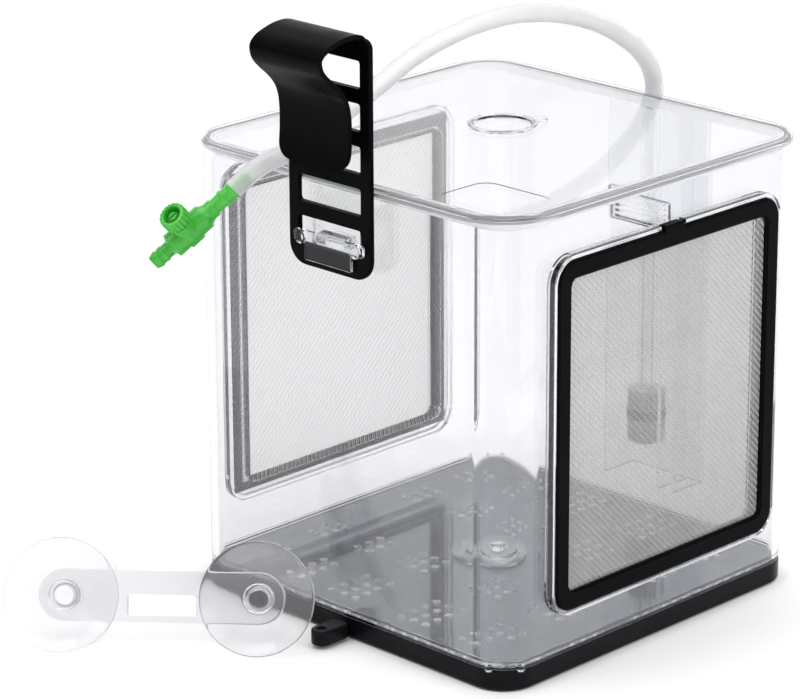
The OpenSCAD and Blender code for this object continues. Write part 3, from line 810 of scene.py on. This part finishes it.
def turned_edge(name, hy, z0, z1, rad, xa, xb, pitch, wire):
    """The edge of the wire cloth turned in along the sides of the window opening."""
    pts = []
    cy, c0, c1 = hy - rad, z0 + rad, z1 - rad
    legs = [((hy, c0), (hy, c1), (1, 0)), ((cy, z1), (-cy, z1), (0, 1)), ((-hy, c1), (-hy, c0), (-1, 0)), ((-cy, z0), (cy, z0), (0, -1))]
    corners = [((cy, c1), 0), ((-cy, c1), 90), ((-cy, c0), 180), ((cy, c0), 270)]
    for (p, q, nrm), (c, a0) in zip(legs, corners):
        n = max(1, round(math.dist(p, q) / pitch))
        pts += [(p[0] + (q[0] - p[0]) * k / n, p[1] + (q[1] - p[1]) * k / n, -nrm[0], -nrm[1]) for k in range(n)]
        n = max(1, round(rad * math.pi / 2 / pitch))
        for k in range(n):
            a = math.radians(a0 + 90 * k / n)
            pts.append((c[0] + rad * math.cos(a), c[1] + rad * math.sin(a), -math.cos(a), -math.sin(a)))
    pts = pts[:len(pts) // 4 * 4]
    P = np.array(pts)
    n1 = len(P)
    n2 = int((xb - xa) / pitch) + 1
    xs = xa + (xb - xa) * np.arange(n2) / (n2 - 1)
    I, J = np.meshgrid(np.arange(n1), np.arange(n2), indexing="ij")
    over = ((I + J) % 4) < 2
    r = wire / 2
    amp = wire * 0.36 * np.where(over, 1.0, -1.0)
    Y, Z, NY, NZ = (np.repeat(P[:, q][:, None], n2, 1) for q in range(4))
    X = np.repeat(xs[None, :], n1, 0)
    tri = [(1, 0), (-0.5, 0.866), (-0.5, -0.866)]
    V, F, crown = [], [], []
    V.append(np.stack([np.stack([X, Y + NY * (amp + r * a) - NZ * r * b, Z + NZ * (amp + r * a) + NY * r * b], -1) for a, b in tri], 2).reshape(-1, 3))
    ii, jj = np.meshgrid(np.arange(n1), np.arange(n2 - 1), indexing="ij")
    for q in range(3):
        b0 = (ii * n2 + jj) * 3
        q2 = (q + 1) % 3
        F.append(np.stack([b0 + q, b0 + q2, b0 + 3 + q2, b0 + 3 + q], -1).reshape(-1, 4))
        crown.append((over[:, :-1] & over[:, 1:]).ravel())
    base = n1 * n2 * 3
    V.append(np.stack([np.stack([X + r * b, Y - NY * (amp - r * a), Z - NZ * (amp - r * a)], -1) for a, b in tri], 2).reshape(-1, 3))
    ii, jj = np.meshgrid(np.arange(n1), np.arange(n2), indexing="ij")
    i2 = (ii + 1) % n1
    for q in range(3):
        q2 = (q + 1) % 3
        b0, b1 = base + (ii * n2 + jj) * 3, base + (i2 * n2 + jj) * 3
        F.append(np.stack([b0 + q, b1 + q, b1 + q2, b0 + q2], -1).reshape(-1, 4))
        crown.append((~over & ~np.roll(over, -1, 0)).ravel())
    V, F, crown = np.concatenate(V) * MM, np.concatenate(F), np.concatenate(crown)
    me = bpy.data.meshes.new(name)
    me.vertices.add(len(V))
    me.vertices.foreach_set("co", V.astype(np.float32).ravel())
    me.loops.add(F.size)
    me.loops.foreach_set("vertex_index", F.astype(np.int32).ravel())
    me.polygons.add(len(F))
    me.polygons.foreach_set("loop_start", np.arange(0, F.size, 4, dtype=np.int32))
    me.polygons.foreach_set("use_smooth", np.ones(len(F), bool))
    # crown faces take the lighter steel and all other faces the near-black steel: painted highlight on the crowns,
    # painted shade in the dips
    me.materials.append(M_STEEL_MID)
    me.materials.append(M_DIP_SHADE)
    me.polygons.foreach_set("material_index", np.where(crown, 0, 1).astype(np.int32))
    me.update(calc_edges=True)
    me.validate()
    o = bpy.data.objects.new(name, me)
    scene.collection.objects.link(o)
    return o


mesh_b = weave("front_window_mesh", 69.2, -44.6, 44.6, 26.2, 124.9, 0.56, 0.235, 1, (M_WIRE_B,))
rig.ride(mesh_b, "window"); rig.replaces(mesh_b, "front_mesh"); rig.slot(mesh_b, "steel_mesh")
mesh_c = weave("side_window_mesh", -69.42, -47.8, 47.8, 23, 128.2, 0.60, 0.185, -1, (M_WIRE_C, M_WIRE_HEM), (43.7, 26.2, 123.8), 0.5)
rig.ride(mesh_c, "tank"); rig.replaces(mesh_c, "side_mesh"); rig.slot(mesh_c, "steel_mesh")
edge_c = turned_edge("side_window_mesh_turned_edge", 43.1, 26.6, 123.4, 3.0, -69.0, -64.9, 0.46, 0.32)
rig.ride(edge_c, "tank"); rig.slot(edge_c, "steel_mesh")
ret = prism("ret", 98.4, 107.85, 7.1, 69.65, 71, 0.15, 0.45, "x", (0, 75.575))
boolean(ret, prism("reti", 88, 98.6, 3.5, 69, 72, 0, 0, "x", (0, 75)))
ret.data.transform(Matrix.Scale(-1, 4, (1, 0, 0)))
fix_normals(ret)
finish_piece(ret, "side_mesh_retainer_ring", M_CLEAR, "tank", ["side_mesh_retainer"], "clear_plastic")

# ------------------------------------------------------------------ hanger
HX = 0.75
hg = prism("hg", 33.9, 72.4, 6.5, 70.2, 72, 0.45, 0.55, "y", (HX, 117.2 + 36.2), seg=8)
boolean(hg, prism("hg2", 33.9, 40, 3, 70.2, 72, 0.45, 0.55, "y", (HX, 189.6 - 20), seg=6), "UNION")
for k in range(5):
    boolean(hg, prism("w%d" % k, 26.1, 8.3, 1.0, 69, 73, 0, 0, "y", (HX, 128.2 + 12.65 * k), seg=5))
HOOK = [(-70.4, 186.8), (-71, 190), (-74.5, 191.3), (-79, 191.2), (-83, 190.3), (-86.6, 189), (-88.9, 187), (-89.3, 184.7),
        (-88.2, 181.8), (-85.6, 179), (-82.2, 176), (-79.7, 173), (-78.4, 169.8), (-77.9, 166.4), (-77.8, 162.8),
        (-77.9, 159), (-78.3, 155.2), (-79, 151.2)]
ho = catmull(HOOK, 5)
hi = []
for i, p in enumerate(ho):
    d = ho[min(i + 1, len(ho) - 1)] - ho[max(i - 1, 0)]
    d = d / np.linalg.norm(d)
    hi.append(p + 1.5 * np.array([-d[1], d[0]]))
prof = [tuple(p) for p in ho] + [tuple(p) for p in reversed(hi)]
v, f = loft([[(x, y, z) for y, z in prof] for x in (HX - 14.15, HX + 14.15)])
hk = new_obj("hk", [Vector(p) * MM for p in v], f)
boolean(hk, prism("hkm", 28.3, 52.5, 5, 70.3, 95, 0, 0, "y", (HX, 151.2 + 26.25), seg=10), "INTERSECT")
hk = bevel(hk, 0.3, 50, 2)
boolean(hg, hk, "UNION")
finish_piece(hg, "ladder_hanger", M_BLACK, "ladder", ["hanger"], "black_plastic", sharp=32)

clip = prism("clip", 28.5, 3.8, 1.2, 72.1, 73.4, 0.2, 0.35, "y", (1.25, 126.4), seg=8)
boolean(clip, prism("tongue", 19.2, 6.2, 0.5, 72.1, 73.4, 0.2, 0.35, "y", (1, 122.4), seg=6), "UNION")
boolean(clip, prism("stem", 11.6, 3.0, 0.2, 66.2, 72.4, 0.3, 0, "y", (1.6, 126.9), seg=4), "UNION")
for x in (-9.8, 12.8):
    boolean(clip, prism("lug", 4.4, 4.4, 2.2, 72.1, 74.2, 0.2, 0.6, "y", (x, 126.3), seg=10), "UNION")
finish_piece(clip, "hanger_clip_clear", M_CLIP, "clip", ["hanger_clip"], "clear_plastic")

# ------------------------------------------------------------------ air lift
d = prism("duct", 31.1, 15, 1.2, 14, 140, 0.3, 0.5, at=(1.55, 74.5))
for x0, x1 in ((-12.4, 9.3), (10.7, 15.5)):
    boolean(d, prism("ch", x1 - x0, 14, 0.4, 12, 138.4, 0, 0.3, at=((x0 + x1) / 2, 73.6)))
boolean(d, prism("sq", 46, 4, 0.1, 10, 150, at=(8, 65.02)))
boolean(d, lathe("dh", [(0, 130), (2.05, 130), (2.05, 150), (0, 150)], 32, Matrix.Translation((-1.6 * MM, 74 * MM, 0))))
finish_piece(d, "airlift_riser", M_DUCT, "tank", ["airlift_duct"], "clear_plastic")
g = prism("grille", 24, 9.5, 0.5, -67, -64.9, 0, 0.2, "y", (0, 106.25))
for i in range(-2, 3):
    boolean(g, prism("sl", 20.4, 1.0, 0.3, -70, -60, 0, 0, "y", (0, 106.25 + i * 1.75), seg=4))
finish_piece(g, "outlet_grille", M_CLEAR, "tank", ["duct_outlet"], "clear_plastic")
AT_PIPE = Matrix.Translation((-1.6 * MM, 74 * MM, 0))
pipe = lathe("pipe", [(1.3, 44.2), (3.1, 44.2), (3.2, 44.4), (3.2, 138.2), (3.0, 138.38), (2.0, 138.38), (2.0, 147.6), (1.8, 148),
                      (1.3, 148)], 40, AT_PIPE)
finish_piece(pipe, "riser_pipe", M_CLEAR, "tank", ["air_pipe"], "clear_plastic")


def fluted(name, z0, z1, r, extra=None):
    n, rings = 20, []
    for inset, z in fillet(z0, z1, 0.4, 0.4, 3):
        ring = []
        for i in range(n * 6):
            a = 2 * math.pi * i / (n * 6)
            t = (i % 6) / 6
            rr = r - inset - 0.55 * max(0.0, math.cos(2 * math.pi * t)) ** 1.5
            ring.append((rr * math.cos(a), rr * math.sin(a), z))
        rings.append(ring)
    v, f = loft(rings)
    o = new_obj(name, [Vector(p) * MM for p in v], f)
    o.data.transform(AT_PIPE)
    fix_normals(o)
    return o


dt = fluted("dt", 37.4, 44.1, 6.0)
boolean(dt, lathe("dts", [(0, 31.1), (2.5, 31.1), (2.6, 31.3), (2.6, 38), (0, 38)], 32, AT_PIPE), "UNION")
finish_piece(dt, "diffuser_cap", M_GREY, "tank", ["diffuser_top"], "grey_plastic", sharp=30)
db = fluted("db", 26.4, 34.2, 6.0)
boolean(db, lathe("dbs", [(0, 31), (2.6, 31), (2.6, 35), (0, 35)], 32, AT_PIPE))
finish_piece(db, "diffuser_foot", M_GREY, "tank", ["diffuser_bottom"], "grey_plastic", sharp=30)
dr = lathe("dr", [(2.6, 34.2), (6.0, 34.2), (6.25, 34.45), (6.25, 37.15), (6.0, 37.4), (2.6, 37.4)], 48, AT_PIPE)
finish_piece(dr, "diffuser_band", M_DARK, "tank", ["diffuser_ring"], "seal_rubber")

# ------------------------------------------------------------------ cup bar and cups
BM = Matrix.Translation(Vector((-34.2, -111.04, 16.3)) * MM) @ Matrix.Rotation(math.radians(40.94), 4, "Z") @ Matrix.Rotation(
    math.radians(-22), 4, "X")


def stadium(name, w, h, y0, y1, f0=0.3, f1=0.3):
    """Bar with round ends in its own frame, from y0 to y1 deep."""
    o = prism(name, w + h, h, h / 2 - 0.001, -y1, -y0, f0, f1, "y", (0, 0), seg=18)
    return o


bar = stadium("bar", 59, 15.8, 7, 11.5, 0.4, 0.5)
rec = stadium("rec", 59, 12.8, 6, 7.8, 0, 0)
for s in (-1, 1):
    boss = lathe("bs", [(0, 4), (5.6, 4), (5.6, 8.2), (0, 8.2)], 48, Matrix.Translation((s * 29.5 * MM, 0, 0)) @ Matrix.Rotation(math.radians(-90), 4, "X"))
    boolean(rec, boss)
boolean(bar, rec)
boolean(bar, prism("bslot", 21, 6.4, 0.6, -14, -4, 0, 0, "y", (0, -2.6)))
for s in (-1, 1):
    hole = lathe("bh", [(0, 4), (3.05, 4), (3.05, 14), (0, 14)], 40, Matrix.Translation((s * 29.5 * MM, 0, 0)) @ Matrix.Rotation(math.radians(-90), 4, "X"))
    boolean(bar, hole)
bar.data.transform(BM)
finish_piece(bar, "suction_cup_bar", M_BAR, "bar", ["cup_bar"], "clear_plastic")
CUP = [(0, 3.9), (3, 3.8), (6, 3.4), (9, 2.7), (12, 1.8), (14.5, 0.9), (16.4, 0.12), (16.9, 0.0), (17.3, 0.06), (17.43, 0.3),
       (17.35, 0.7), (16.9, 1.05), (15, 1.95), (12, 3.1), (9, 4.15), (7, 4.8), (5.4, 5.2), (4.75, 5.5), (4.6, 5.9), (4.6, 6.4),
       (4.4, 6.68), (3.0, 6.7), (3.0, 11.8), (3.9, 11.8), (4.2, 12.1), (4.15, 12.8), (3.4, 13.8), (2.4, 14.28), (0, 14.3)]
for s, nm in ((-1, "left"), (1, "right")):
    c = lathe("cup", CUP, 96)
    t = prism("ct", 2.6, 3.0, 0.9, 0.02, 0.78, 0.2, at=(17.5, 0))
    t.data.transform(Matrix.Rotation(math.radians(-29), 4, "Z"))
    boolean(c, t, "UNION")
    c.data.transform(BM @ Matrix.Translation((s * 29.5 * MM, 0, 0)) @ Matrix.Rotation(math.radians(-90), 4, "X"))
    finish_piece(c, "cup_%s_soft" % nm, M_SOFT, "cup_%s" % nm, ["suction_cup_%s" % nm], "soft_clear")

# nodes that stay as they are inside the valve
for n, mt in (("valve_seal", M_DARK), ("valve_needle", M_NEEDLE)):
    o = frame["nodes"][n]
    o.data.materials.clear()
    o.data.materials.append(mt)

# ------------------------------------------------------------------ stage and light
def floor_mat():
    mt, nt, p, out = base_mat("pale_floor")
    c = obj_coord(nt)
    nt.links.new(ramp(nt, noise(nt, c, 6, 2), (0.92, 0.92, 0.92), (0.94, 0.94, 0.94)), p.inputs["Base Color"])
    p.inputs["Roughness"].default_value = 0.9
    p.inputs["Specular IOR Level"].default_value = 0.0
    return mt


fl = new_obj("floor", [(-4, -4, -0.0003), (4, -4, -0.0003), (4, 4, -0.0003), (-4, 4, -0.0003)], [(0, 1, 2, 3)], floor_mat())
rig.stage(fl)

world = bpy.data.worlds.new("studio")
scene.world = world
world.use_nodes = True
nt = world.node_tree
bg = nt.nodes["Background"]
tc = nt.nodes.new("ShaderNodeTexCoord")
sp = nt.nodes.new("ShaderNodeSeparateXYZ")
nt.links.new(tc.outputs["Generated"], sp.inputs[0])


def wramp(fac, stops):
    rp = nt.nodes.new("ShaderNodeValToRGB")
    cr = rp.color_ramp
    cr.elements[0].position, cr.elements[0].color = stops[0][0], (stops[0][1],) * 3 + (1,)
    cr.elements[1].position, cr.elements[1].color = stops[-1][0], (stops[-1][1],) * 3 + (1,)
    for pos, val in stops[1:-1]:
        cr.elements.new(pos).color = (val, val, val, 1)
    nt.links.new(fac, rp.inputs[0])
    return rp.outputs[0]


def wmath(op, a, b, clamp=False):
    n = nt.nodes.new("ShaderNodeMath")
    n.operation = op
    n.use_clamp = clamp
    for i, v in enumerate((a, b)):
        if isinstance(v, (int, float)):
            n.inputs[i].default_value = v
        else:
            nt.links.new(v, n.inputs[i])
    return n.outputs[0]


# how far a direction looks along the photo's line of sight, 0..1 for -1..1
depth = wmath("ADD", wmath("MULTIPLY", sp.outputs["X"], -0.3516), wmath("MULTIPLY", sp.outputs["Y"], 0.3555))
depth = wmath("ADD", depth, 0.5)
around = wramp(depth, [(0.0, 0.62), (0.16, 0.5), (0.30, 0.34), (0.5, 0.25), (0.66, 0.4), (0.80, 0.95), (1.0, 1.0)])
height = wmath("ADD", wmath("MULTIPLY", sp.outputs["Z"], 0.5), 0.5)
above = wramp(height, [(0.0, 1.0), (0.48, 1.0), (0.72, 0.85), (0.80, 0.5), (0.90, 0.5), (1.0, 0.9)])
level = wmath("MULTIPLY", around, above)
comb = nt.nodes.new("ShaderNodeCombineColor")
for i in range(3):
    nt.links.new(level, comb.inputs[i])
nt.links.new(comb.outputs[0], bg.inputs["Color"])
bg.inputs["Strength"].default_value = 1.2


def area(name, loc, target, size, power, size_y=None):
    l = bpy.data.lights.new(name, "AREA")
    l.shape = "RECTANGLE"
    l.size = size
    l.size_y = size_y or size
    l.energy = power
    o = bpy.data.objects.new(name, l)
    scene.collection.objects.link(o)
    o.location = loc
    o.rotation_euler = (Vector(loc) - Vector(target)).to_track_quat("Z", "Y").to_euler()
    return o


area("key", (-0.7, -1.3, 1.7), (0, 0, 0.08), 1.3, 10)
area("fill", (1.5, 0.3, 1.2), (0, 0, 0.08), 1.2, 11)
area("top", (0.1, 0.1, 2.2), (0, 0, 0), 2.6, 42)

scene.view_settings.view_transform = "Standard"
scene.view_settings.look = "None"
scene.view_settings.exposure = 0.0
scene.view_settings.gamma = 1.0
scene.cycles.max_bounces = 32
scene.cycles.transmission_bounces = 32
scene.cycles.glossy_bounces = 8
scene.cycles.diffuse_bounces = 4
scene.cycles.transparent_max_bounces = 32

with open("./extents.json", "w") as fsz:
    json.dump({"cad": [list(map(float, c)) for c in CAD_BOX], "visual": [list(map(float, c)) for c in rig.bounds()]}, fsz)
